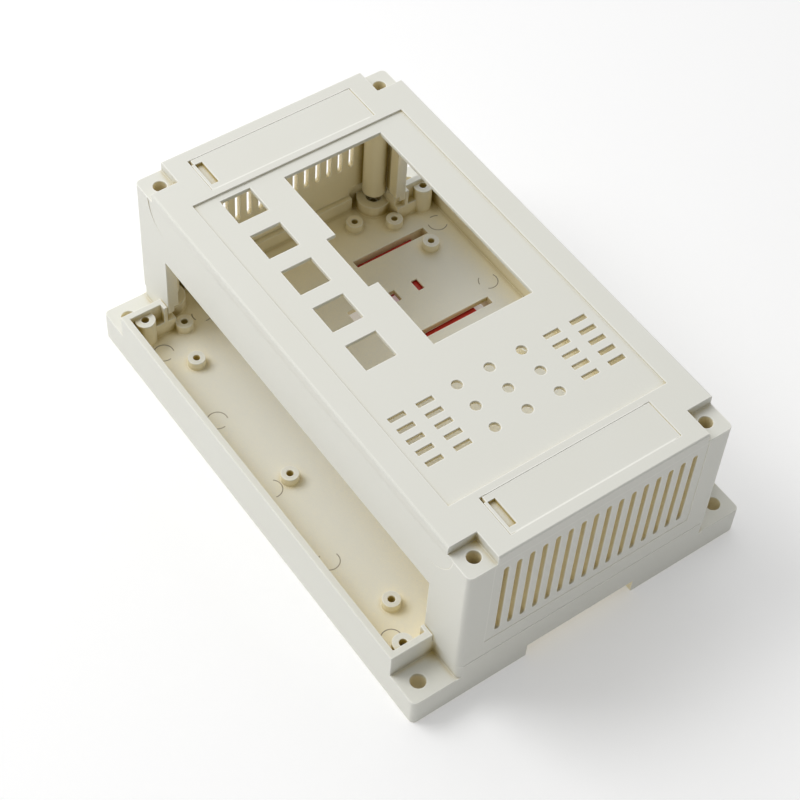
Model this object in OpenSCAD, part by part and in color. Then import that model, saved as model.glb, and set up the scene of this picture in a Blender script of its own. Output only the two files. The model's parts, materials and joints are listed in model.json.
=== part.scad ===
// Two-part enclosure for a rail-mounted controller: a base tray with two open terminal bays and four
// fixing ears, a ventilated cover, a lid over each port, and two sliding rail clips under the floor.
// Millimetres, +Z up. The origin is the middle of the underside, X runs along the case.

/* [Overall size] */
// Length of the base
base_l = 155; // [148:1:200]
// Width of the base across both terminal bays
base_w = 110; // [106:1:150]
// Height from the underside to the top of the cover
case_h = 60; // [52:1:90]

/* [Base tray] */
// Thickness of the skirt, the bay walls and the cross walls
wall_t = 2; // [1.6:0.1:2.6]
// Thickness of the two end walls of the base
end_wall_t = 3.6; // [3.2:0.1:4.4]
// Height of the inside floor above the underside
floor_z = 7; // [6.6:0.1:8]
// Thickness of the floor
floor_t = 2; // [1.6:0.1:2.4]
// Height of the bay walls
bay_wall_h = 18; // [16.8:0.1:24]
// Height of the line where the cover sits on the base
parting_z = 15; // [14:0.1:16]
// Radius of the base's upright corners
base_corner_r = 1.6; // [1:0.1:4]
// Thickness of the lug beside each cover foot
lug_t = 1.2; // [0.8:0.1:1.6]
// Height of the low rib at each bay end
low_rib_z = 12; // [10.5:0.1:13.5]
// Thickness of that rib and of the lug on it, in front of the cross wall
low_rib_t = 2; // [1.4:0.1:2.4]
// Height of the step inside the end walls, under the cover's tongues
lap_z = 12; // [11:0.1:13]
// Thickness of the end walls' outer lip above that step
lap_lip_t = 1.3; // [1:0.05:1.5]
// Clearance round the cover's tongues
lap_gap = 0.2; // [0.1:0.05:0.3]

/* [Fixing ears] */
// Length of an ear
ear_l = 10.6; // [9.6:0.1:11.4]
// Height of an ear
ear_h = 9.8; // [9:0.1:11]
// Diameter of the fixing holes
ear_hole_d = 4.3; // [3:0.1:5]
// Distance of the fixing holes from the base's ends
ear_hole_end = 5.4; // [5:0.1:6.2]
// Distance of the fixing holes from the base's sides
ear_hole_side = 5.2; // [5:0.1:7]

/* [Bosses] */
// Diameter of the board bosses
board_boss_d = 5.2; // [4.4:0.1:5.8]
// Diameter of the screw holes in the board bosses
board_hole_d = 2; // [1.5:0.1:2.8]
// Height of the board bosses above the floor
board_boss_h = 3; // [2:0.1:5]
// Distance of the bay bosses inside the cover's long sides
bay_boss_in = 0.3; // [-1:0.1:1.5]
// Distance of the outer bay bosses from the base's ends
bay_boss_end = 29.1; // [25:0.1:45]
// Distance of the corner bosses from the base's ends
corner_boss_end = 15.7; // [15.4:0.1:18]
// Distance of the corner bosses inside the cover's long sides
corner_boss_in = 4.4; // [4.2:0.1:9]
// Distance of the end bosses from the base's ends
end_boss_end = 10.2; // [8:0.1:14]
// Distance of the end bosses from the middle line
end_boss_y = 26.4; // [15:0.1:28]
// Diameter of the tall bosses at the bay ends
tall_boss_d = 6; // [5:0.1:7]
// Height of the tall bosses' tops above the underside
tall_boss_z = 16.3; // [14:0.1:16.6]
// Diameter of the screw holes in the tall bosses
tall_hole_d = 2.2; // [1.5:0.1:3]
// Distance of the tall bosses from the base's ends
tall_boss_end = 13.8; // [13:0.1:16]
// Distance of the tall bosses from the base's sides
tall_boss_side = 6.1; // [5:0.1:7]
// Depth of the screw holes in the tall bosses
tall_hole_depth = 8; // [5:0.1:9]

/* [Cover] */
// Width of the cover
cover_w = 83.4; // [82:0.1:86]
// Thickness of the cover's walls
cover_t = 2; // [1.6:0.1:2.4]
// Thickness of the cover's top at its rim
rim_t = 3; // [2.8:0.1:3.6]
// Radius of the cover's upright corners
cover_corner_r = 1.6; // [0.8:0.1:2.4]
// How far the cover's end faces stand back from the base's
cover_setback = 0.15; // [0.1:0.05:0.3]
// How far the base stands back from the cover's long sides
side_setback = 0.4; // [0.2:0.05:0.8]
// Clearance between the cover's long sides and the lugs
lug_gap = 0.2; // [0.1:0.05:0.4]
// Width of the chamfer round the top
top_chamfer = 0.4; // [0.2:0.05:0.8]
// Depth of the tapered relief under the rim of the long sides
relief_d = 0.25; // [0.1:0.05:0.6]
// Height of the slope that leads into the relief
relief_lead = 1.8; // [1:0.1:3]
// Height of the tapered relief
relief_h = 11; // [6:0.5:16]
// Height of the rim band above the relief
relief_drop = 2.7; // [2:0.1:4]
// Distance of the relief's ends from the base's ends
relief_end = 6.9; // [4:0.1:14]
// Width of the jamb rib inside each end of the side openings
jamb_w = 3.7; // [2:0.1:4]
// Thickness of the jamb ribs
jamb_t = 1.5; // [0.8:0.1:1.6]
// Height of the jamb ribs' lower ends
jamb_z = 17; // [16:0.1:19]

/* [Cover screws] */
// Length of the corner notches along X
notch_l = 9.05; // [8:0.05:9.6]
// Width of the corner notches along Y
notch_w = 8.5; // [8:0.1:9.6]
// Depth of the corner notches
notch_d = 3.1; // [2:0.1:5]
// Thickness of the walls and floor round a notch
notch_t = 2; // [1.2:0.1:2.5]
// Distance of the screws from the base's ends
screw_end = 5.3; // [5.2:0.1:5.8]
// Distance of the screws from the cover's long sides
screw_side = 5; // [4.8:0.1:5.4]
// Diameter of the holes for the cover screws
screw_d = 3.8; // [3:0.1:4.4]
// Diameter of the screw posts
post_d = 7.3; // [6.8:0.1:7.8]
// How far the posts reach down below the parting line
post_drop = 1.4; // [0.8:0.1:1.8]
// Width of the chamfer round the posts' lower ends
post_chamfer = 0.4; // [0.2:0.1:0.8]
// Clearance between a post and the base
post_gap = 0.3; // [0.2:0.05:0.4]
// Outside diameter of the screw cups in the base
cup_d = 10.6; // [10:0.1:11]
// Inside diameter of the cups
cup_hole_d = 4.8; // [4:0.1:5.6]
// Height of the cups' rims above the floor
cup_h = 4; // [3:0.1:4.6]
// Depth of the cups
cup_depth = 2.5; // [1.5:0.1:2.8]
// Gap between a cup and the step of the end wall
cup_gap = 1.4; // [0.8:0.1:2]
// Diameter of the screws' pilot holes
pilot_d = 2.5; // [2:0.1:3]
// Thickness of the floor left under the pilot holes
pilot_floor = 0.8; // [0.5:0.1:1.5]

/* [Sunk panel] */
// Distance of the panel's ends from the base's ends
panel_end = 19; // [18.8:0.1:21]
// Width of the panel
panel_w = 69; // [64:0.5:72]
// Depth of the panel below the rim
panel_d = 0.7; // [0.5:0.1:1]
// Thickness of the panel
panel_t = 1.3; // [1:0.1:1.6]
// Length of the display window
display_l = 70; // [50:0.5:71]
// Width of the display window
display_w = 32.2; // [20:0.1:33]
// Distance of the display window from the panel's left end
display_end = 3.8; // [2:0.1:5]
// Middle of the display window along Y
display_y = 8.6; // [6:0.1:10]
// Length of the step in the display window's edge
step_l = 19.8; // [10:0.1:30]
// Depth of that step
step_d = 3; // [1:0.1:4]
// Number of square windows
square_count = 5; // [1:1:5]
// Side of a square window
square_size = 9.5; // [6:0.1:11]
// Spacing of the square windows
square_pitch = 15; // [12:0.1:15.5]
// Distance of the first square window from the panel's left end
square_end = 2; // [1.5:0.1:4]
// Middle of the square windows along Y
square_y = -22.3; // [-25:0.1:-21]

/* [Lamp holes and panel vents] */
// Diameter of the lamp holes
lamp_d = 3; // [2:0.1:4]
// Number of lamp holes along X and along Y
lamp_count = 3; // [1:1:3]
// Spacing of the lamp holes along X
lamp_pitch_x = 8; // [5:0.1:9]
// Spacing of the lamp holes along Y
lamp_pitch_y = 10.35; // [6:0.05:12]
// Distance of the middle of the lamp holes and vents from the panel's right end
grid_end = 21.2; // [19:0.1:24]
// Number of vents in a column
vent_count = 5; // [1:1:6]
// Spacing of the vents
vent_pitch = 4; // [3:0.1:4.5]
// Width of a vent
vent_w = 1.5; // [1:0.1:2]
// Length of a vent
vent_l = 5; // [3:0.1:6]
// Distance of the inner vent columns from the middle line
vent_inner_y = 20.3; // [18:0.1:22]
// Distance of the outer vent columns from the middle line
vent_outer_y = 29; // [27.5:0.1:30]

/* [End vents] */
// Number of slots in each end face
end_vent_count = 16; // [4:1:17]
// Spacing of the slots
end_vent_pitch = 4; // [3:0.1:4]
// Width of a slot
end_vent_w = 1.6; // [1:0.1:2]
// Height of the slots' lower ends
end_vent_z = 24.4; // [24:0.1:30]
// Distance of the slots' upper ends from the top of the cover
end_vent_drop = 7; // [7:0.1:16]
// Depth of the sunk field round the slots
field_d = 0.1; // [0.1:0.05:0.4]
// Width of that field's margin round the slots
field_margin = 3; // [1.5:0.1:3]

/* [Side openings] */
// Length of the openings from the case into the bays
side_open_l = 125.6; // [100:0.1:127]
// Height of the openings' upper edges
side_open_z = 37; // [28:0.1:38]

/* [Port lids] */
// Length of the lid recess along X
port_l = 12.7; // [10:0.1:13]
// Width of the lid recess along Y
port_w = 53.8; // [40:0.1:56]
// Distance of the lid recess's middle from the base's ends
port_end = 10.4; // [10.2:0.1:10.8]
// Depth of the lid recess
port_depth = 2; // [1.9:0.05:2.2]
// Width of the ledge that the lid lies on
port_ledge = 1.8; // [1.2:0.1:2.4]
// Clearance round the lid
lid_gap = 0.03; // [0.02:0.01:0.1]
// Width of the slit at the finger end of the lid
lid_slit = 0.12; // [0.1:0.01:0.3]
// Thickness of the lid
lid_t = 1.75; // [1.5:0.05:1.85]
// Length of the corner cut out of the finger end
lid_nick_l = 1.7; // [1:0.1:2.5]
// Width of that corner cut
lid_nick_w = 0.7; // [0.4:0.1:0.8]
// Distance between the lid and the ledge under it
lid_rest_gap = 0.1; // [0.05:0.01:0.14]
// Diameter of the lid's hinge pins
pin_d = 1.2; // [0.8:0.05:1.3]
// Length of the lid's hinge pins inside their sockets
pin_l = 1.2; // [0.8:0.1:1.4]
// Clearance round the hinge pins
pin_gap = 0.05; // [0.03:0.01:0.09]
// Distance of the hinge axis from the port's end, where the lid's tail swings down
lid_tail = 3; // [2.6:0.1:3.4]
// Clearance between the tail's round end and the port's end
tail_gap = 0.05; // [0.03:0.01:0.1]
// Length of the finger pocket
pocket_l = 8.7; // [6:0.1:10]
// Width of the finger pocket
pocket_w = 2.2; // [1.5:0.1:3]
// Depth of the finger pocket
pocket_d = 1.15; // [0.5:0.05:1.15]
// Width of the lip beside the finger pocket
pocket_lip = 1; // [0.8:0.1:1.4]
// Length of the catch under the lid
catch_l = 6; // [4:0.1:7]
// Thickness of the catch
catch_t = 1.2; // [0.8:0.1:1.8]
// Depth of the catch below the lid
catch_d = 2.5; // [1.5:0.1:3]
// Clearance between the catch and the edge of the port
catch_gap = 0.4; // [0.3:0.05:0.6]

/* [Rail channel] */
// Width of the mounting rail
rail_w = 35; // [35:1:35]
// Thickness of the rail's edges
rail_t = 1; // [1:0.1:1.3]
// Clearance between the rail and each channel wall
rail_gap = 0.4; // [0.2:0.05:0.6]
// Thickness of the channel walls and the ribs of the underside
rib_t = 1.5; // [1.2:0.1:2]
// How far the hooks and jaws reach under the rail
hook_reach = 1.8; // [1.2:0.1:2.4]
// Clearance between the rail and the hooks under it
hook_gap = 0.3; // [0.2:0.05:0.5]
// Thickness of the hooks and jaws
hook_t = 2.2; // [1.6:0.1:2.6]
// Length of each fixed hook
hook_l = 20; // [10:0.5:30]

/* [Rail clips] */
// Distance of the clips' middle lines from the base's ends
clip_end = 39.1; // [36:0.1:43]
// Width of a clip
clip_w = 35; // [30:0.1:36]
// Thickness of a clip
clip_t = 1.9; // [1.5:0.1:2]
// Length of the clip's wide part
clip_l = 21.2; // [18:0.1:21.6]
// Travel of a clip
clip_travel = 4; // [2.5:0.1:4]
// Clearance round the clip in its guides
clip_gap = 0.3; // [0.2:0.05:0.4]
// Width of the lips that carry the clip, and of the floor slots above them
lip_w = 2.6; // [1.6:0.1:2.8]
// Thickness of the lips
lip_t = 1.6; // [1:0.1:1.8]
// Width of the clip's neck
neck_w = 12; // [8:0.1:14]
// Width of the clip's handle
handle_w = 16; // [15:0.1:20]
// Distance between the clip's jaw and the lips beside it
jaw_inset = 1.3; // [0.6:0.1:4]
// Width of the slits that free the spring strips along the clip's edges
strip_slit = 1.4; // [1:0.1:2]
// Length of the spring strips
strip_l = 14; // [8:0.1:15]
// Width of the spring strips
strip_w = 4; // [3.2:0.1:5]
// Length of the small floor holes along X
floor_hole_l = 4.2; // [2.5:0.1:5]
// Width of the small floor holes along Y
floor_hole_w = 2; // [1:0.1:2.4]
// Distance of the floor hole above the clip's window from the middle line
window_hole_y = 21.2; // [20.5:0.1:22]
// Width of the window in the clip
clip_window_w = 3.5; // [2.5:0.1:3.5]
// Distance of the floor hole above the clip's pad from the middle line
pad_hole_y = 29.4; // [28:0.1:33]
// Height of the pad on the clip
pad_h = 1.2; // [0.6:0.1:1.3]
// How far the pad and the window reach past their floor holes
hole_margin = 0.8; // [0.5:0.1:1]
// Length of the floor hole above the rail
rail_hole_l = 5; // [3:0.1:6]
// Width of the floor hole above the rail
rail_hole_w = 3.5; // [2:0.1:4]
// Distance of the floor hole above the rail from the middle line
rail_hole_y = 7.35; // [4:0.05:10]
// Width of the screwdriver slot in the clip's handle
driver_slot_w = 2.4; // [1.6:0.1:3]

/* [Hidden] */
$fn = 40;
ivory = "#E2E1D7";
clip_red = "#C8301E";
// Overlap that lets one cut or piece run into the next
over = 0.5;

half_l = base_l / 2;
half_w = base_w / 2;
roof_z = floor_z - floor_t;

// Plan lines of the base
base_side_y = cover_w / 2 - side_setback;
inside_x = half_l - end_wall_t;
inside_y = base_side_y - wall_t;
cross_x = half_l - ear_l;
bay_x = cross_x - wall_t;
bay_y = half_w - wall_t;
lug_y = cover_w / 2 + lug_gap;

// Plan lines of the cover
cover_x = half_l - cover_setback;
cover_y = cover_w / 2;
screw_x = half_l - screw_end;
screw_y = cover_y - screw_side;
notch_x = cover_x - notch_l;
notch_y = cover_y - notch_w;
notch_z = case_h - notch_d;
post_z = parting_z - post_drop;
cup_z = floor_z + cup_h;
cup_floor_z = cup_z - cup_depth;
lap_x = half_l - lap_lip_t;
lap_y = screw_y - cup_d / 2 - cup_gap;
rim_under_z = case_h - rim_t;
panel_z = case_h - panel_d;
relief_z = case_h - relief_drop;
panel_l = base_l - 2 * panel_end;
display_x = (display_l - panel_l) / 2 + display_end;
square_x = (square_size - panel_l) / 2 + square_end;
grid_x = panel_l / 2 - grid_end;
end_vent_top = case_h - end_vent_drop;
end_vent_row = (end_vent_count - 1) * end_vent_pitch + end_vent_w;

// Board bosses in one quarter of the base, as distances from its middle
bay_boss_y = cover_y - bay_boss_in;
quarter_bosses = [
    [half_l - bay_boss_end, bay_boss_y],
    [half_l - corner_boss_end, cover_y - corner_boss_in],
    [half_l - end_boss_end, end_boss_y]
];
board_boss_z = floor_z + board_boss_h;
tall_boss_x = half_l - tall_boss_end;
tall_boss_y = half_w - tall_boss_side;

// Port lids
port_x = half_l - port_end;
lid_l = port_l - 2 * lid_gap;
lid_z = case_h - port_depth + lid_rest_gap;
lid_end_y = -port_w / 2 + lid_slit;
hinge_y = port_w / 2 - lid_tail;
hinge_z = lid_z + lid_t / 2;
catch_y = -port_w / 2 + port_ledge + catch_gap;

// Rail channel, hooks and clips
clip_x = half_l - clip_end;
channel_y = rail_w / 2 + rail_gap;
hook_top_z = roof_z - rail_t - hook_gap;
hook_z = hook_top_z - hook_t;
nose_cut = 0.4 * hook_t;
jaw_w = clip_w - 2 * (lip_w + jaw_inset);
clip_top_z = roof_z - clip_gap;
clip_z = clip_top_z - clip_t;
lip_top_z = clip_z - clip_gap / 2;
lip_z = lip_top_z - lip_t;
clip_y = channel_y + rail_gap;
clip_end_y = clip_y + clip_l;
guide_x = clip_w / 2 + clip_gap;
guide_end_y = clip_end_y + clip_travel + 2 * clip_gap;
stop_y = guide_end_y + rib_t;
handle_y = stop_y + clip_gap;
handle_end_y = half_w - clip_gap;
pad_x = floor_hole_l / 2 + hole_margin;
pad_y = pad_hole_y - floor_hole_w / 2 - hole_margin;
pad_end_y = pad_hole_y + floor_hole_w / 2 + hole_margin;

// A plate with round upright corners, standing on Z = 0 about the origin
module rounded_plate(l, w, r, h) {
    linear_extrude(h) {
        square([l - 2 * r, w], center = true);
        square([l, w - 2 * r], center = true);
        for (sx = [-1, 1], sy = [-1, 1])
            translate([sx * (l / 2 - r), sy * (w / 2 - r)]) circle(r);
    }
}

// A block given by its low and high corners
module block(low, high) {
    translate(low) cube(high - low);
}

// Copies of the children in all four quarters
module quarters() {
    for (mx = [0, 1], my = [0, 1])
        mirror([mx, 0, 0]) mirror([0, my, 0]) children();
}

// Copies of the children at both ends
module both_ends() {
    for (mx = [0, 1]) mirror([mx, 0, 0]) children();
}

// Copies of the children on both long sides
module both_sides() {
    for (my = [0, 1]) mirror([0, my, 0]) children();
}

// A profile in the YZ plane, extruded by len about X = 0
module along_x(len) {
    translate([-len / 2, 0, 0]) rotate([90, 0, 90]) linear_extrude(len) children();
}

// Outside of the tray: skirt and ears, the wall under the cover, the walls of both bays
module tray_outside() {
    rounded_plate(base_l, base_w, base_corner_r, ear_h);
    rounded_plate(base_l, 2 * base_side_y, cover_corner_r, parting_z);
    both_sides() block([-cross_x, lug_y, 0], [cross_x, half_w, bay_wall_h]);
    both_sides() block([-cross_x, inside_y, 0], [cross_x, half_w, parting_z]);
}

// Inside of the tray above the floor
module tray_inside() {
    top = bay_wall_h + over;
    block([-inside_x, -inside_y, floor_z], [inside_x, inside_y, top]);
    block([-bay_x, -bay_y, floor_z], [bay_x, bay_y, top]);
    block([-lap_x, -lap_y, lap_z], [lap_x, lap_y, top]);
    both_sides() block([-lap_x, lap_y, floor_z], [lap_x, inside_y, top]);
}

// Bosses, lugs and low ribs that stand on the floor
module floor_features() {
    foot_z = floor_z - over;
    quarters() {
        for (p = quarter_bosses)
            translate([p[0], p[1], foot_z]) cylinder(d = board_boss_d, h = board_boss_z - foot_z);
        translate([tall_boss_x, tall_boss_y, foot_z]) cylinder(d = tall_boss_d, h = tall_boss_z - foot_z);
        intersection() {
            translate([screw_x, screw_y, foot_z]) cylinder(d = cup_d, h = cup_z - foot_z);
            block([0, 0, 0], [half_l - lap_lip_t / 2, base_side_y - wall_t / 2, cup_z]);
        }
        block([bay_x - low_rib_t, lug_y, low_rib_z - over], [bay_x + over, lug_y + lug_t, bay_wall_h]);
        block([bay_x - low_rib_t, inside_y, foot_z], [bay_x + over, tall_boss_y, low_rib_z]);
    }
    both_sides() translate([0, bay_boss_y, foot_z])
        cylinder(d = board_boss_d, h = board_boss_z - foot_z);
}

// Holes from above: board bosses, tall bosses, screw cups, room for the cover's posts, and the ears
module floor_holes() {
    quarters() {
        for (p = quarter_bosses)
            translate([p[0], p[1], floor_z]) cylinder(d = board_hole_d, h = board_boss_h + over);
        translate([tall_boss_x, tall_boss_y, tall_boss_z - tall_hole_depth])
            cylinder(d = tall_hole_d, h = tall_hole_depth + over);
        translate([screw_x, screw_y, cup_floor_z]) cylinder(d = cup_hole_d, h = cup_depth + over);
        translate([screw_x, screw_y, roof_z + pilot_floor]) cylinder(d = pilot_d, h = cup_z - roof_z);
        translate([screw_x, screw_y, post_z - post_gap])
            cylinder(d = post_d + 2 * post_gap, h = post_drop + post_gap + over);
        translate([half_l - ear_hole_end, half_w - ear_hole_side, -over])
            cylinder(d = ear_hole_d, h = ear_h + 2 * over);
    }
    both_sides() translate([0, bay_boss_y, floor_z])
        cylinder(d = board_hole_d, h = board_boss_h + over);
}

// Guides of one clip below the roof: upright webs, lips under the clip, and the stop across its end
module clip_guides() {
    for (mx = [0, 1]) mirror([mx, 0, 0]) {
        block([guide_x, channel_y, lip_z], [guide_x + rib_t, stop_y, roof_z + over]);
        block([guide_x - lip_w, clip_y, lip_z], [guide_x + over, guide_end_y, lip_top_z]);
        block([neck_w / 2 + clip_gap, guide_end_y, lip_z], [guide_x + rib_t, stop_y, roof_z + over]);
    }
}

// One hollow of the underside, between the channel wall and the skirt, without its ribs and ear posts
module underside_hollow() {
    difference() {
        block([-half_l + wall_t, channel_y + rib_t, -over], [half_l - wall_t, bay_y, roof_z]);
        for (x = [-cross_x, 0, cross_x]) translate([x, 0, 0])
            block([-rib_t / 2, channel_y, -2 * over], [rib_t / 2, half_w, roof_z + over]);
        both_ends()
            block([cross_x, base_side_y - rib_t, -2 * over], [half_l, base_side_y, roof_z + over]);
        both_ends() translate([half_l - ear_hole_end, half_w - ear_hole_side, -2 * over])
            cylinder(d = ear_hole_d + 2 * wall_t, h = roof_z + 3 * over);
    }
}

// The hollow on the clip side also opens the channel wall and the skirt, and frees the clips' pads
module clip_side_hollow() {
    difference() {
        union() {
            underside_hollow();
            for (x = [-clip_x, clip_x]) translate([x, 0, 0]) {
                block([-guide_x, channel_y - over, -over], [guide_x, stop_y + over, roof_z]);
                block([-handle_w / 2 - clip_gap, stop_y, -over],
                    [handle_w / 2 + clip_gap, half_w + over, roof_z]);
                block([-pad_x - clip_gap, pad_y - clip_gap, roof_z - over],
                    [pad_x + clip_gap, pad_end_y + clip_travel + clip_gap, roof_z + pad_h]);
            }
        }
        for (x = [-clip_x, clip_x]) translate([x, 0, 0]) clip_guides();
    }
}

// Channel for the rail across the underside, without the fixed hooks along its far wall
module rail_channel() {
    difference() {
        block([-half_l - over, -channel_y, -over], [half_l + over, channel_y, roof_z]);
        for (x = [-clip_x, clip_x]) translate([x, 0, 0]) along_x(hook_l) polygon([
            [-channel_y - over, hook_z],
            [-rail_w / 2 + hook_reach - nose_cut, hook_z],
            [-rail_w / 2 + hook_reach, hook_z + nose_cut],
            [-rail_w / 2 + hook_reach, hook_top_z],
            [-channel_y - over, hook_top_z]
        ]);
    }
}

// Openings through the floor: above the lips and the fixed hooks, above the clips and above the rail
module floor_openings() {
    low = roof_z - over;
    high = floor_z + over;
    for (x = [-clip_x, clip_x]) translate([x, 0, 0]) {
        for (mx = [0, 1]) mirror([mx, 0, 0])
            block([guide_x - lip_w, clip_y, low], [guide_x, guide_end_y, high]);
        block([-hook_l / 2, -channel_y, low], [hook_l / 2, -rail_w / 2 + hook_reach, high]);
        for (y = [window_hole_y, pad_hole_y]) translate([0, y, 0])
            block([-floor_hole_l / 2, -floor_hole_w / 2, low],
                [floor_hole_l / 2, floor_hole_w / 2, high]);
        translate([0, rail_hole_y, 0])
            block([-rail_hole_l / 2, -rail_hole_w / 2, low], [rail_hole_l / 2, rail_hole_w / 2, high]);
    }
}

// Hollow under each ear, round the post of its fixing hole
module ear_hollows() {
    quarters() difference() {
        block([cross_x + rib_t / 2, base_side_y, roof_z - over],
            [half_l - wall_t, bay_y, ear_h - wall_t]);
        translate([half_l - ear_hole_end, half_w - ear_hole_side, 0])
            cylinder(d = ear_hole_d + 2 * wall_t, h = ear_h);
    }
}

module base_tray() {
    color(ivory) difference() {
        union() {
            difference() {
                tray_outside();
                tray_inside();
            }
            floor_features();
        }
        floor_holes();
        floor_openings();
        rail_channel();
        mirror([0, 1, 0]) underside_hollow();
        clip_side_hollow();
        ear_hollows();
    }
}

// Outside of the cover, with a tongue below each end wall
module cover_outside() {
    translate([0, 0, parting_z]) rounded_plate(2 * cover_x, cover_w, cover_corner_r, case_h - parting_z);
    both_ends() block([cover_x - cover_t, -lap_y + lap_gap, lap_z + lap_gap],
        [lap_x - lap_gap, lap_y - lap_gap, parting_z + over]);
}

// Walls and floors of the corner notches, the posts below them, and the jamb ribs of the side openings
module cover_corners() {
    quarters() {
        block([notch_x - notch_t, notch_y - notch_t, notch_z - notch_t],
            [cover_x - cover_t / 2, cover_y - cover_t / 2, rim_under_z + over]);
        translate([screw_x, screw_y, post_z]) {
            cylinder(d1 = post_d - 2 * post_chamfer, d2 = post_d, h = post_chamfer);
            translate([0, 0, post_chamfer]) cylinder(d = post_d, h = notch_z - post_z - post_chamfer);
        }
        block([side_open_l / 2, cover_y - cover_t - jamb_t, jamb_z],
            [side_open_l / 2 + jamb_w, cover_y - cover_t / 2, rim_under_z + over]);
    }
}

// Notches and screw holes cut at the corners
module corner_cuts() {
    quarters() {
        block([notch_x, notch_y, notch_z], [cover_x + over, cover_y + over, case_h + over]);
        translate([screw_x, screw_y, post_z - over])
            cylinder(d = screw_d, h = notch_z - post_z + 2 * over);
    }
}

// Sunk panel, hollowed to its thickness from below, with its windows, lamp holes and vents
module panel_cuts() {
    low = rim_under_z - over;
    high = case_h + over;
    block([-panel_l / 2, -panel_w / 2, panel_z], [panel_l / 2, panel_w / 2, high]);
    block([panel_t - panel_l / 2, panel_t - panel_w / 2, low],
        [panel_l / 2 - panel_t, panel_w / 2 - panel_t, panel_z - panel_t]);
    translate([display_x, display_y, 0]) {
        block([-display_l / 2, -display_w / 2, low], [display_l / 2, display_w / 2, high]);
        block([-step_l / 2, -display_w / 2 - step_d, low], [step_l / 2, 0, high]);
    }
    for (i = [0 : square_count - 1]) translate([square_x + i * square_pitch, square_y, 0])
        block([-square_size / 2, -square_size / 2, low], [square_size / 2, square_size / 2, high]);
    lamp_mid = (lamp_count - 1) / 2;
    for (i = [0 : lamp_count - 1], j = [0 : lamp_count - 1])
        translate([grid_x + (i - lamp_mid) * lamp_pitch_x, (j - lamp_mid) * lamp_pitch_y, low])
            cylinder(d = lamp_d, h = high - low);
    vent_mid = (vent_count - 1) / 2;
    for (y = [-vent_outer_y, -vent_inner_y, vent_inner_y, vent_outer_y], i = [0 : vent_count - 1])
        translate([grid_x + (i - vent_mid) * vent_pitch, y, 0])
            block([-vent_w / 2, -vent_l / 2, low], [vent_w / 2, vent_l / 2, high]);
}

// Row of upright slots with round ends in each end face, in a shallow sunk field
module end_vents() {
    mid = (end_vent_count - 1) / 2;
    field_y = end_vent_row / 2 + field_margin;
    round_low_z = end_vent_z + end_vent_w / 2;
    round_top_z = end_vent_top - end_vent_w / 2;
    both_ends() {
        for (i = [0 : end_vent_count - 1])
            translate([cover_x - cover_t / 2, (i - mid) * end_vent_pitch, 0])
                along_x(cover_t + 2 * over) {
                    translate([-end_vent_w / 2, round_low_z])
                        square([end_vent_w, round_top_z - round_low_z]);
                    for (z = [round_low_z, round_top_z]) translate([0, z]) circle(d = end_vent_w);
                }
        block([cover_x - field_d, -field_y, end_vent_z - field_margin],
            [cover_x + over, field_y, end_vent_top + field_margin]);
    }
}

// Tapered relief under the rim of one long side, with round lower corners
module side_relief() {
    relief_x = half_l - relief_end;
    intersection() {
        along_x(2 * relief_x) polygon([
            [cover_y, relief_z],
            [cover_y - relief_d, relief_z - relief_lead],
            [cover_y, relief_z - relief_h],
            [cover_y + over, relief_z - relief_h],
            [cover_y + over, relief_z]
        ]);
        translate([0, cover_y + 2 * over, relief_z]) rotate([90, 0, 0])
            linear_extrude(relief_d + 3 * over) {
                square([2 * (relief_x - relief_h), 2 * relief_h], center = true);
                for (sx = [-1, 1]) translate([sx * (relief_x - relief_h), 0]) circle(relief_h);
            }
    }
}

// Openings in the long sides, and the reliefs above them
module side_cuts() {
    block([-side_open_l / 2, -cover_y - over, parting_z - over],
        [side_open_l / 2, cover_y + over, side_open_z]);
    both_sides() side_relief();
}

// Chamfer along the four upper edges
module top_edge_cuts() {
    side = top_chamfer * sqrt(2);
    both_sides() translate([0, cover_y, case_h]) rotate([45, 0, 0])
        cube([base_l, side, side], center = true);
    both_ends() translate([cover_x, 0, case_h]) rotate([0, 45, 0])
        cube([side, base_w, side], center = true);
}

// Recess, opening, room for the lid's tail and hinge sockets of one port
module port_cuts() {
    block([-port_l / 2, -port_w / 2, case_h - port_depth], [port_l / 2, port_w / 2, case_h + over]);
    block([-port_l / 2 + port_ledge, -port_w / 2 + port_ledge, rim_under_z - over],
        [port_l / 2 - port_ledge, hinge_y, case_h]);
    block([-port_l / 2, hinge_y - lid_t, rim_under_z - over], [port_l / 2, port_w / 2, case_h]);
    socket_l = port_l + 2 * (pin_l + pin_gap);
    translate([-socket_l / 2, hinge_y, hinge_z]) rotate([0, 90, 0])
        cylinder(d = pin_d + 2 * pin_gap, h = socket_l);
}

module top_cover() {
    color(ivory) difference() {
        union() {
            difference() {
                cover_outside();
                block([-cover_x + cover_t, -cover_y + cover_t, parting_z - over],
                    [cover_x - cover_t, cover_y - cover_t, rim_under_z]);
            }
            cover_corners();
        }
        corner_cuts();
        panel_cuts();
        end_vents();
        side_cuts();
        top_edge_cuts();
        for (x = [-port_x, port_x]) translate([x, 0, 0]) port_cuts();
    }
}

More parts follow.
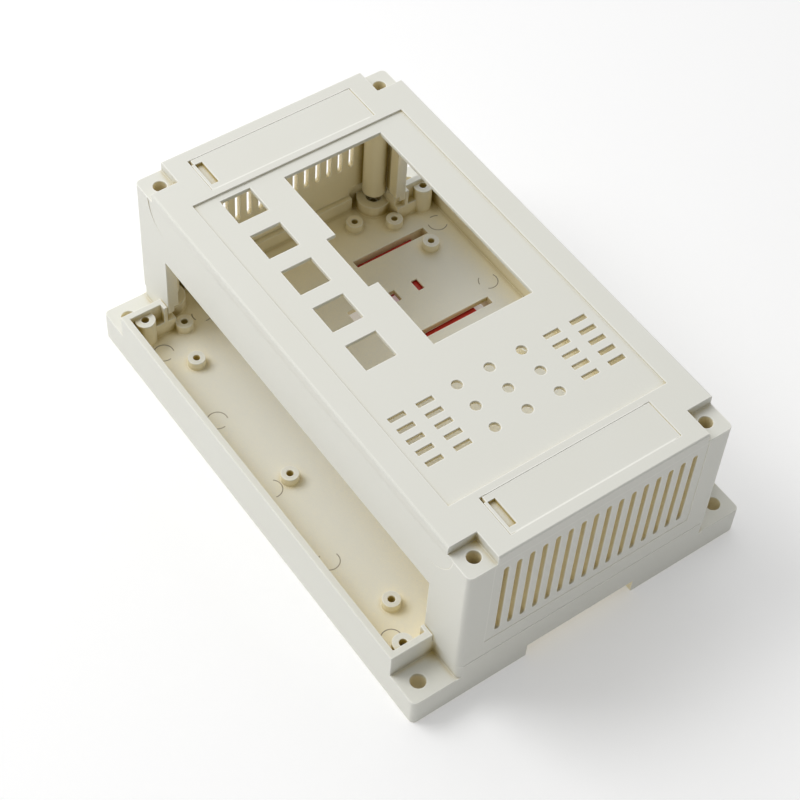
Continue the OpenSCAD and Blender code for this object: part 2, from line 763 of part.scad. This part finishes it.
// Lid of one port: a plate with two pins and a short tail, a finger pocket, a cut corner and a catch
module port_lid() {
    color(ivory) difference() {
        union() {
            block([-lid_l / 2, lid_end_y, lid_z], [lid_l / 2, hinge_y, lid_z + lid_t]);
            intersection() {
                block([-lid_l / 2, hinge_y - over, lid_z], [lid_l / 2, port_w / 2, lid_z + lid_t]);
                translate([-port_l / 2, hinge_y, hinge_z]) rotate([0, 90, 0])
                    cylinder(r = lid_tail - tail_gap, h = port_l);
            }
            translate([-port_l / 2 - pin_l, hinge_y, hinge_z]) rotate([0, 90, 0])
                cylinder(d = pin_d, h = port_l + 2 * pin_l);
            translate([0, catch_y, lid_z - catch_d])
                block([-catch_l / 2, 0, 0], [catch_l / 2, catch_t, catch_d + lid_t / 2]);
        }
        translate([0, lid_end_y + pocket_lip, lid_z + lid_t - pocket_d])
            block([-pocket_l / 2, 0, 0], [pocket_l / 2, pocket_w, pocket_d + over]);
        block([-lid_l / 2 - over, lid_end_y - over, lid_z - over],
            [-lid_l / 2 + lid_nick_l, lid_end_y + lid_nick_w, lid_z + lid_t + over]);
    }
}

module left_port_lid() {
    translate([-port_x, 0, 0]) port_lid();
}

module right_port_lid() {
    translate([port_x, 0, 0]) port_lid();
}

// One rail clip: jaw, wide part with two spring strips, a pad and a window, neck, and a slotted handle
module rail_clip() {
    strip_x = clip_w / 2 - strip_w;
    strip_y = clip_end_y - rib_t - strip_l;
    window_y = clip_y + hook_t;
    driver_y = (handle_y + handle_end_y - driver_slot_w) / 2;
    color(clip_red) difference() {
        union() {
            block([-clip_w / 2, clip_y, clip_z], [clip_w / 2, clip_end_y, clip_top_z]);
            block([-neck_w / 2, clip_y, clip_z], [neck_w / 2, handle_y + over, clip_top_z]);
            block([-handle_w / 2, handle_y, clip_z], [handle_w / 2, handle_end_y, clip_top_z]);
            block([-handle_w / 2, handle_end_y - rib_t, lip_z], [handle_w / 2, handle_end_y, clip_top_z]);
            block([-pad_x, pad_y, clip_z], [pad_x, pad_end_y, clip_top_z + pad_h]);
            along_x(jaw_w) polygon([
                [clip_y + hook_t, hook_z],
                [rail_w / 2 - hook_reach + nose_cut, hook_z],
                [rail_w / 2 - hook_reach, hook_z + nose_cut],
                [rail_w / 2 - hook_reach, hook_top_z],
                [clip_y + hook_t, hook_top_z]
            ]);
        }
        for (mx = [0, 1]) mirror([mx, 0, 0])
            block([strip_x - strip_slit, strip_y, clip_z - over],
                [strip_x, strip_y + strip_l, clip_top_z + over]);
        block([-pad_x, window_y, clip_z - over], [pad_x, window_y + clip_window_w, clip_top_z + over]);
        translate([0, driver_y, clip_z - over])
            block([-handle_w / 4, 0, 0], [handle_w / 4, driver_slot_w, clip_t + 2 * over]);
    }
}

module left_rail_clip() {
    translate([-clip_x, 0, 0]) rail_clip();
}

module right_rail_clip() {
    translate([clip_x, 0, 0]) rail_clip();
}

base_tray();
top_cover();
left_port_lid();
right_port_lid();
left_rail_clip();
right_rail_clip();
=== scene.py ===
import json
import math

import bmesh
import bpy
from mathutils import Matrix, Vector
from mathutils.bvhtree import BVHTree
from mathutils.kdtree import KDTree

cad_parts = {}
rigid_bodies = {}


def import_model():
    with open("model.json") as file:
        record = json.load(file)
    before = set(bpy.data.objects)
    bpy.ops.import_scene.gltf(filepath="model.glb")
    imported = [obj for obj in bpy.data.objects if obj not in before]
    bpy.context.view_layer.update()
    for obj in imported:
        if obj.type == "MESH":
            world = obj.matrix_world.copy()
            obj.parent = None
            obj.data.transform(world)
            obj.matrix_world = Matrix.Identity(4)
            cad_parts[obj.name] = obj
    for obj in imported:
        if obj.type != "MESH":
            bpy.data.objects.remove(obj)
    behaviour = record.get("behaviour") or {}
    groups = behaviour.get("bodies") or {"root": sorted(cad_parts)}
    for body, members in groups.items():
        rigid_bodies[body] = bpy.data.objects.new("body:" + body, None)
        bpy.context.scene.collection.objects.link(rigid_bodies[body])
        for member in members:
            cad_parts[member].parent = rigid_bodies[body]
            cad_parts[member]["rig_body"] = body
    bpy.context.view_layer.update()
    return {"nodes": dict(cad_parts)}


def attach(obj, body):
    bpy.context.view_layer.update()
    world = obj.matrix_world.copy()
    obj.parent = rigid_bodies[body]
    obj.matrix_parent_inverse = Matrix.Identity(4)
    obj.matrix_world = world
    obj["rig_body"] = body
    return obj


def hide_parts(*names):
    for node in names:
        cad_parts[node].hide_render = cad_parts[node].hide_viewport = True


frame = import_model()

# Base tray: floor, bay walls, ears and bosses in one injection moulding of ivory ABS, which carries all the other
# pieces. Its edges come out of the tool slightly rounded, so a merged copy of the solid gets that small radius on
# every sharp edge that has room for it.
MM = 0.001
TRAY_EDGE_MM = 0.22
IVORY = "#E2E2DA"
IVORY_SECOND = "#E0DFD5"
# The next three tones are painted light and shade: a warm glow painted into wide hollows, shade painted into
# creases, slots and holes, and a highlight painted on edges.
IVORY_HOLLOW_PAINTED_GLOW = "#FBF2D4"
IVORY_CREASE_PAINTED_SHADE = "#B8A254"
IVORY_EDGE_PAINTED_HIGHLIGHT = "#FBFAF3"
IVORY_ROUGHNESS = 0.5
IVORY_DRIFT_MM = 30
IVORY_GRAIN_UM = 18

PLASTIC_IOR = 1.53
ROUGHNESS_SPREAD = 0.06
# The tool's spark texture has grains of about 0.1 mm. That is too fine to show here, so it is drawn coarser.
SPARK_GRAIN_MM = 0.6


def linear(hex_colour):
    """An sRGB hex colour as linear RGBA."""
    channels = [int(hex_colour[i:i + 2], 16) / 255 for i in (1, 3, 5)]
    return [c / 12.92 if c <= 0.04045 else ((c + 0.055) / 1.055) ** 2.4 for c in channels] + [1.0]


def add(tree, kind, inputs=None, **settings):
    """Adds a node with its settings, and its sockets' values or links."""
    made = tree.nodes.new(kind)
    for name, value in settings.items():
        setattr(made, name, value)
    for socket, value in (inputs or {}).items():
        if isinstance(value, bpy.types.NodeSocket):
            tree.links.new(value, made.inputs[socket])
        else:
            made.inputs[socket].default_value = value
    return made


def moulded_plastic(name, colours, roughness, drift_mm, grain_um):
    """Injection-moulded plastic with the tool's spark texture. It drifts slowly between two close tones, and has
    light and shade painted by occlusion:
    a tone in wide hollows for light that comes through the walls, painted shade in creases, slots and holes, and a
    painted highlight on its edges."""
    plain, second, hollow_painted_light, crease_painted_shade, edge_painted_highlight = (linear(c) for c in colours)
    material = bpy.data.materials.new(name)
    material.use_nodes = True
    tree = material.node_tree
    tree.nodes.clear()
    place = add(tree, "ShaderNodeTexCoord").outputs["Object"]
    drift = add(tree, "ShaderNodeTexNoise", {"Vector": place, "Scale": 1 / (drift_mm * MM), "Detail": 3.0})
    tone = add(tree, "ShaderNodeMix", {"Factor": drift.outputs["Fac"], "A": plain, "B": second}, data_type="RGBA")
    # Each layer paints light or shade by how shut in the surface is. Its columns: how far it looks in mm, its rays,
    # whether it looks into the wall, the open share at which the tone is full, the one at which it is gone, whether
    # it sees only this piece, and the tone. The three layers are a tone painted into wide hollows for light through
    # the walls, painted shade in creases, slots and holes, and a painted highlight on edges.
    layers = ((200, 16, False, 0.26, 0.38, False, hollow_painted_light),
              (3.5, 4, False, 0.36, 0.76, True, crease_painted_shade),
              (0.4, 4, True, 0.55, 0.97, True, edge_painted_highlight))
    for reach_mm, rays, inside, full_at, gone_at, alone, colour in layers:
        shut = add(tree, "ShaderNodeAmbientOcclusion", {"Distance": reach_mm * MM}, samples=rays, inside=inside,
                   only_local=alone)
        share = add(tree, "ShaderNodeMapRange", {"Value": shut.outputs["AO"], "From Min": full_at,
                                                 "From Max": gone_at, "To Min": 1.0, "To Max": 0.0})
        tone = add(tree, "ShaderNodeMix", {"Factor": share.outputs["Result"], "A": tone.outputs["Result"],
                                           "B": colour}, data_type="RGBA")
    grain = add(tree, "ShaderNodeTexNoise", {"Vector": place, "Scale": 1 / (SPARK_GRAIN_MM * MM), "Detail": 2.0})
    rough = add(tree, "ShaderNodeMapRange", {"Value": grain.outputs["Fac"], "To Min": roughness - ROUGHNESS_SPREAD,
                                             "To Max": roughness + ROUGHNESS_SPREAD})
    bump = add(tree, "ShaderNodeBump", {"Height": grain.outputs["Fac"], "Strength": 1.0,
                                        "Distance": grain_um * 1e-6})
    skin = add(tree, "ShaderNodeBsdfPrincipled", {"Base Color": tone.outputs["Result"],
                                                  "Roughness": rough.outputs["Result"], "IOR": PLASTIC_IOR,
                                                  "Normal": bump.outputs["Normal"]})
    add(tree, "ShaderNodeOutputMaterial", {"Surface": skin.outputs["BSDF"]})
    return material


SHARP_DEG = 30          # an edge that bends more than this is sharp
ONWARD_DEG = 140        # two edges that meet wider than this run on as one
BESIDE = 0.7            # cosine above which two edges run beside each other
ROOM_PER_RADIUS = 2.3   # free width that a rounded edge needs, in radii


def crowded_edges(sharp, room):
    """Those sharp edges that have another one close beside them, apart from the ones that they run into."""
    sharp_set = set(sharp)
    points = []
    for edge in sharp:
        a, b = (v.co for v in edge.verts)
        steps = max(1, math.ceil(edge.calc_length() / (0.5 * room)))
        points += [(edge, a.lerp(b, (i + 0.5) / steps)) for i in range(steps)]
    near = KDTree(len(points))
    for i, (edge, point) in enumerate(points):
        near.insert(point, i)
    near.balance()
    close = {edge: set() for edge in sharp}
    for edge, point in points:
        close[edge] |= {points[i][0] for _, i, _ in near.find_range(point, room)}

    def runs_on(last, at, edge):
        """Whether that edge carries on where the last one arrives."""
        return (last.other_vert(at).co - at.co).angle(edge.other_vert(at).co - at.co) > math.radians(ONWARD_DEG)

    def family(edge):
        """The smooth chain that an edge is part of, for a short way, and the edges that meet it."""
        chain = {edge}
        for vert in edge.verts:
            last, at, gone = edge, vert, 0.0
            while gone < 3 * room:
                onward = [e for e in at.link_edges if e in sharp_set and e not in chain and runs_on(last, at, e)]
                if not onward:
                    break
                chain.add(onward[0])
                gone += onward[0].calc_length()
                last, at = onward[0], onward[0].other_vert(at)
        return chain, {e for c in chain for v in c.verts for e in v.link_edges}

    crowded = set()
    for edge in sharp:
        chain, kin = family(edge) if len(close[edge]) > 1 else (close[edge], close[edge])
        along = (edge.verts[1].co - edge.verts[0].co).normalized()
        for other in close[edge] - chain:
            beside = abs(along.dot((other.verts[1].co - other.verts[0].co).normalized())) > BESIDE
            if other not in kin or (beside and edge.calc_length() < other.calc_length()):
                crowded.add(edge)
    return crowded


def roundable_edges(shape, radius):
    """The sharp edges with room for that radius. A long edge that is crowded only at an end is split there."""
    room = ROOM_PER_RADIUS * radius
    end = 4 * room

    def sharp():
        return [e for e in shape.edges
                if len(e.link_faces) == 2 and e.calc_face_angle() > math.radians(SHARP_DEG)]

    found = sharp()
    crowded = crowded_edges(found, room)
    for edge in [e for e in found if e in crowded]:
        for vert in tuple(edge.verts):
            if edge.calc_length() > 3 * end:
                bmesh.utils.edge_split(edge, vert, end / edge.calc_length())
    free = sharp()
    crowded = crowded_edges(free, room)
    return [e for e in free if e not in crowded]


WELD_MM = 0.002         # corners of the solid's triangles that are closer than this are one
FLAT_DEG = 0.4          # triangles that bend less than this make one flat face
SEAM_MM = 0.03          # an edge this close to the piece it lies flush with is part of the seam
CREASE_DEG = 50         # a bend over this is shaded as an edge
BROAD_MM2 = 0.3         # a face over this size is a wall and not part of a rounded edge
CORNER_DEG = 60         # where walls that differ by more than this share a corner,
CORNER_CREASE_DEG = 10  # a bend over this is shaded as an edge there


def moulding(node, name, edge_mm, material, flush_with=None, fillets=True):
    """A merged copy of a CAD node with its sharp edges rounded, standing in for that node. Edges that touch the
    node it lies flush with stay sharp, so that the seam between the two shows as a hairline. Without fillets, inner
    corners stay sharp too, for a piece that turns with little room."""
    shape = bmesh.new()
    shape.from_mesh(frame["nodes"][node].data)
    bmesh.ops.remove_doubles(shape, verts=shape.verts, dist=WELD_MM * MM)
    bmesh.ops.dissolve_limit(shape, angle_limit=math.radians(FLAT_DEG), verts=shape.verts, edges=shape.edges)
    rounded = [e for e in roundable_edges(shape, edge_mm * MM) if fillets or e.is_convex]
    if flush_with:
        mate = frame["nodes"][flush_with].data
        skin = BVHTree.FromPolygons([v.co for v in mate.vertices], [p.vertices for p in mate.polygons])
        rounded = [e for e in rounded
                   if skin.find_nearest((e.verts[0].co + e.verts[1].co) / 2)[3] > SEAM_MM * MM]
    bmesh.ops.bevel(shape, geom=rounded, offset=edge_mm * MM, offset_type="OFFSET", segments=2, profile=0.5,
                    affect="EDGES", clamp_overlap=False)
    for face in shape.faces:
        face.smooth = True
    for edge in shape.edges:
        edge.smooth = len(edge.link_faces) == 2 and edge.calc_face_angle() < math.radians(CREASE_DEG)
    for vert in shape.verts:
        walls = [f.normal for f in vert.link_faces if f.calc_area() > BROAD_MM2 * MM ** 2]
        if any(n.angle(m) > math.radians(CORNER_DEG) for n in walls for m in walls):
            for edge in vert.link_edges:
                edge.smooth = edge.smooth and edge.calc_face_angle() < math.radians(CORNER_CREASE_DEG)
    mesh = bpy.data.meshes.new(name)
    shape.to_mesh(mesh)
    shape.free()
    mesh.materials.clear()
    mesh.materials.append(material)
    piece = bpy.data.objects.new(name, mesh)
    bpy.context.scene.collection.objects.link(piece)
    even = piece.modifiers.new("flat_faces", "WEIGHTED_NORMAL")
    even.keep_sharp = True
    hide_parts(node)
    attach(piece, frame["nodes"][node]["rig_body"])
    return piece


# Ivory ABS, moulded in a spark-textured tool: to the eye a matt, faintly warm white with broad soft highlights.
# Inside the case it has a painted yellow glow for light through the walls, slots and holes have painted brownish
# shade, and its edges a painted highlight.
ivory = moulded_plastic("ivory_abs", (IVORY, IVORY_SECOND, IVORY_HOLLOW_PAINTED_GLOW, IVORY_CREASE_PAINTED_SHADE, IVORY_EDGE_PAINTED_HIGHLIGHT), IVORY_ROUGHNESS,
                        IVORY_DRIFT_MM, IVORY_GRAIN_UM)
moulding("base_tray", "tray", TRAY_EDGE_MM, ivory, "top_cover")

# Ejector marks: low broken rings where the pins that push the tray out of its tool met the floor. They are part of
# the tray's moulding. Their line is painted dark grey-brown, partly for dust along their step and partly as painted
# shade for it.
RING_MM = 5.9
RING_LINE_MM = 0.3
RING_STEP_MM = 0.05
RING_FLOOR_MM = 7.0
LONG_ARC_DEG = 150
SHORT_ARC_DEG = 50
SHORT_ARC_START_DEG = 250
ARC_POINTS = 40
RING_SEED = 2
RING_PLACES_MM = [(-57, -47.3), (-28, -47.3), (0, -47.3), (28, -47.3), (57, -47.3),
                  (-55.3, 49), (-28, 48), (0, 48), (28, 48), (55.3, 49), (-63.6, -30.3), (63.6, -30.3)]
# The line's first two tones are a dull grey-brown, partly dust and partly painted shade along the step; the last
# three are a tone painted into hollows, shade painted into creases and a highlight painted on edges.
DUST_AND_SHADE_LINE = ("#968F80", "#857E70", "#8E866E", "#726C5C", "#A49C8C")
DUST_AND_SHADE_ROUGHNESS = 0.6
DUST_AND_SHADE_DRIFT_MM = 2
DUST_AND_SHADE_GRAIN_UM = 10


def ring_tree():
    """Geometry Nodes tree: on every point a flat broken ring of one long arc and one short, turned its own way."""
    tree = bpy.data.node_groups.new("witness_rings", "GeometryNodeTree")
    tree.interface.new_socket("Places", in_out="INPUT", socket_type="NodeSocketGeometry")
    for name in ("Diameter", "Line width", "Line height", "Long arc", "Short arc"):
        tree.interface.new_socket(name, in_out="INPUT", socket_type="NodeSocketFloat")
    tree.interface.new_socket("Finish", in_out="INPUT", socket_type="NodeSocketMaterial")
    tree.interface.new_socket("Rings", in_out="OUTPUT", socket_type="NodeSocketGeometry")
    given = add(tree, "NodeGroupInput").outputs
    radius = add(tree, "ShaderNodeMath", {0: given["Diameter"], 1: 0.5}, operation="MULTIPLY")
    arcs = add(tree, "GeometryNodeJoinGeometry")
    for start, sweep in ((0.0, "Long arc"), (math.radians(SHORT_ARC_START_DEG), "Short arc")):
        arc = add(tree, "GeometryNodeCurveArc", {"Resolution": ARC_POINTS, "Radius": radius.outputs["Value"],
                                                 "Start Angle": start, "Sweep Angle": given[sweep]}, mode="RADIUS")
        tree.links.new(arc.outputs["Curve"], arcs.inputs["Geometry"])
    section = add(tree, "GeometryNodeCurvePrimitiveQuadrilateral", {"Width": given["Line width"],
                                                                    "Height": given["Line height"]})
    line = add(tree, "GeometryNodeCurveToMesh", {"Curve": arcs.outputs["Geometry"],
                                                 "Profile Curve": section.outputs["Curve"], "Fill Caps": True})
    turn = add(tree, "FunctionNodeRandomValue", {0: (0, 0, 0), 1: (0, 0, 2 * math.pi), "Seed": RING_SEED},
               data_type="FLOAT_VECTOR")
    rings = add(tree, "GeometryNodeInstanceOnPoints", {"Points": given["Places"], "Instance": line.outputs["Mesh"],
                                                       "Rotation": turn.outputs["Value"]})
    solid = add(tree, "GeometryNodeRealizeInstances", {"Geometry": rings.outputs["Instances"]})
    done = add(tree, "GeometryNodeSetMaterial", {"Geometry": solid.outputs["Geometry"],
                                                 "Material": given["Finish"]})
    add(tree, "NodeGroupOutput", {"Rings": done.outputs["Geometry"]})
    return tree


# The same ABS drawn as a thin, dull, grey-brown line: partly dust held against the step, partly painted shade, with
# the same painted tones in hollows, creases and on edges as the ivory.
dust_and_shade_line = moulded_plastic("dust_and_painted_shade_ivory_abs", DUST_AND_SHADE_LINE, DUST_AND_SHADE_ROUGHNESS, DUST_AND_SHADE_DRIFT_MM, DUST_AND_SHADE_GRAIN_UM)
places = bpy.data.meshes.new("ring_places")
places.from_pydata([(x * MM, y * MM, RING_FLOOR_MM * MM) for x, y in RING_PLACES_MM], [], [])
marks = bpy.data.objects.new("ejector_marks", places)
bpy.context.scene.collection.objects.link(marks)
rings = marks.modifiers.new("rings", "NODES")
rings.node_group = ring_tree()
for name, value in (("Diameter", RING_MM * MM), ("Line width", RING_LINE_MM * MM),
                    ("Line height", RING_STEP_MM * MM), ("Long arc", math.radians(LONG_ARC_DEG)),
                    ("Short arc", math.radians(SHORT_ARC_DEG)), ("Finish", dust_and_shade_line)):
    rings[rings.node_group.interface.items_tree[name].identifier] = value
ring_mesh = bpy.data.meshes.new_from_object(marks.evaluated_get(bpy.context.evaluated_depsgraph_get()))
marks.modifiers.clear()
marks.data = ring_mesh
bpy.data.meshes.remove(places)
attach(marks, frame["nodes"]["base_tray"]["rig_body"])

# Rail clips: two flat red slides, moulded with their spring strips in one piece. They run in guides under the
# tray's floor, hook behind the mounting rail, and are pulled out at the side to let it go.
CLIP_EDGE_MM = 0.2
CLIP_RED = "#C8301E"
CLIP_RED_SECOND = "#C42C1C"
# The next three tones are painted light and shade: a darker red painted into wide hollows, a dark red shade painted
# into creases, and a paler red highlight painted on edges.
CLIP_RED_HOLLOW_PAINTED_SHADE = "#B82414"
CLIP_RED_CREASE_PAINTED_SHADE = "#7A2418"
CLIP_RED_EDGE_PAINTED_HIGHLIGHT = "#DA4C38"
CLIP_ROUGHNESS = 0.42
CLIP_DRIFT_MM = 15
CLIP_GRAIN_UM = 10

# Red engineering plastic from a smoother tool: to the eye satin, with a tighter highlight than the ivory case. It
# has painted shade in hollows and creases and a painted highlight on its edges.
red_clip = moulded_plastic("red_clip_plastic", (CLIP_RED, CLIP_RED_SECOND, CLIP_RED_HOLLOW_PAINTED_SHADE, CLIP_RED_CREASE_PAINTED_SHADE,
                                                CLIP_RED_EDGE_PAINTED_HIGHLIGHT), CLIP_ROUGHNESS, CLIP_DRIFT_MM, CLIP_GRAIN_UM)
for side in ("left", "right"):
    moulding(side + "_rail_clip", side + "_clip", CLIP_EDGE_MM, red_clip)

# Top cover: a thin shell of the same ivory ABS, moulded with all its windows, slots and screw posts. It stands on
# the tray's end walls, and four screws in the corner notches hold it down.
COVER_EDGE_MM = 0.2
moulding("top_cover", "cover", COVER_EDGE_MM, ivory, "base_tray")

# Port lids: two flat lids of the same ivory ABS that snap by their pins into the cover's rim and lie flush in it.
# They turn with hardly any room at the pins, so their inner corners stay sharp.
LID_EDGE_MM = 0.15
for side in ("left", "right"):
    moulding(side + "_port_lid", side + "_lid", LID_EDGE_MM, ivory, fillets=False)

# Studio: a seamless floor of pale paper, a large soft key lamp above the open bay, and a white tent that is
# brightest at the far end. The paper is matt and glows a little, as light bounces about in the tent.
FLOOR_COLOUR = "#E8E8E8"
FLOOR_ROUGHNESS = 0.9
FLOOR_GLOW = 0.22
FLOOR_HALF_M = 3.0
LAMP_WHITE = (1.0, 1.0, 1.0, 1.0)
TENT_BRIGHT_SIDE = (-0.963, 0.215, 0.164)
TENT_DIM, TENT_BRIGHT = 0.02, 1.07
KEY_PLACE_M = (-0.45, -0.4, 0.75)
KEY_AIM_M = (0, 0, 0.03)
KEY_SIZE_M = 0.5
KEY_WATTS = 4.2

floor_mesh = bpy.data.meshes.new("floor")
floor_mesh.from_pydata([(x * FLOOR_HALF_M, y * FLOOR_HALF_M, 0) for x, y in ((-1, -1), (1, -1), (1, 1), (-1, 1))],
                       [], [(0, 1, 2, 3)])
floor = bpy.data.objects.new("floor", floor_mesh)
bpy.context.scene.collection.objects.link(floor)
paper = bpy.data.materials.new("white_paper")
paper.use_nodes = True
for socket, value in (("Base Color", linear(FLOOR_COLOUR)), ("Roughness", FLOOR_ROUGHNESS),
                      ("Emission Color", LAMP_WHITE), ("Emission Strength", FLOOR_GLOW)):
    paper.node_tree.nodes["Principled BSDF"].inputs[socket].default_value = value
floor_mesh.materials.append(paper)

room = bpy.data.worlds.new("light_tent")
room.use_nodes = True
tent = room.node_tree
tent.nodes.clear()
towards = add(tent, "ShaderNodeTexCoord").outputs["Generated"]
facing = add(tent, "ShaderNodeVectorMath", {0: towards, 1: TENT_BRIGHT_SIDE}, operation="DOT_PRODUCT")
level = add(tent, "ShaderNodeMapRange", {"Value": facing.outputs["Value"], "From Min": -1.0, "From Max": 1.0,
                                         "To Min": TENT_DIM, "To Max": TENT_BRIGHT})
glow = add(tent, "ShaderNodeBackground", {"Color": LAMP_WHITE, "Strength": level.outputs["Result"]})
add(tent, "ShaderNodeOutputWorld", {"Surface": glow.outputs["Background"]})
bpy.context.scene.world = room

key = bpy.data.lights.new("key", "AREA")
key.shape = "SQUARE"
key.size = KEY_SIZE_M
key.energy = KEY_WATTS
key.color = LAMP_WHITE[:3]
key_lamp = bpy.data.objects.new("key", key)
key_lamp.location = KEY_PLACE_M
key_lamp.rotation_euler = (Vector(KEY_AIM_M) - Vector(KEY_PLACE_M)).to_track_quat("-Z", "Y").to_euler()
bpy.context.scene.collection.objects.link(key_lamp)

# Camera: at the photograph's viewing angle and turned a little about its own axis. Its place and lens were found by
# fitting the case's corners with its known length, width and height.
AZIMUTH, ELEVATION, ROLL = (math.radians(a) for a in (51.056, 52.483, 4.575))
AIM = Vector((7.925, -11.205, 30.0)) * MM
DISTANCE = 534.294 * MM
LENS_MM = 89.007
SENSOR_MM = 36.0
NEAREST_M = 0.01
back = Vector((math.sin(AZIMUTH) * math.cos(ELEVATION), -math.cos(AZIMUTH) * math.cos(ELEVATION),
               math.sin(ELEVATION)))
right = Vector((0, 0, 1)).cross(back).normalized()
up = back.cross(right)
turn = Matrix((right, up, back)).transposed().to_4x4() @ Matrix.Rotation(ROLL, 4, "Z")
lens = bpy.data.cameras.new("camera")
lens.lens = LENS_MM
lens.sensor_width = SENSOR_MM
lens.clip_start = NEAREST_M
camera = bpy.data.objects.new("camera", lens)
camera.matrix_world = Matrix.Translation(AIM + back * DISTANCE) @ turn
bpy.context.scene.collection.objects.link(camera)
bpy.context.scene.camera = camera
bpy.context.scene.view_settings.view_transform = "Standard"
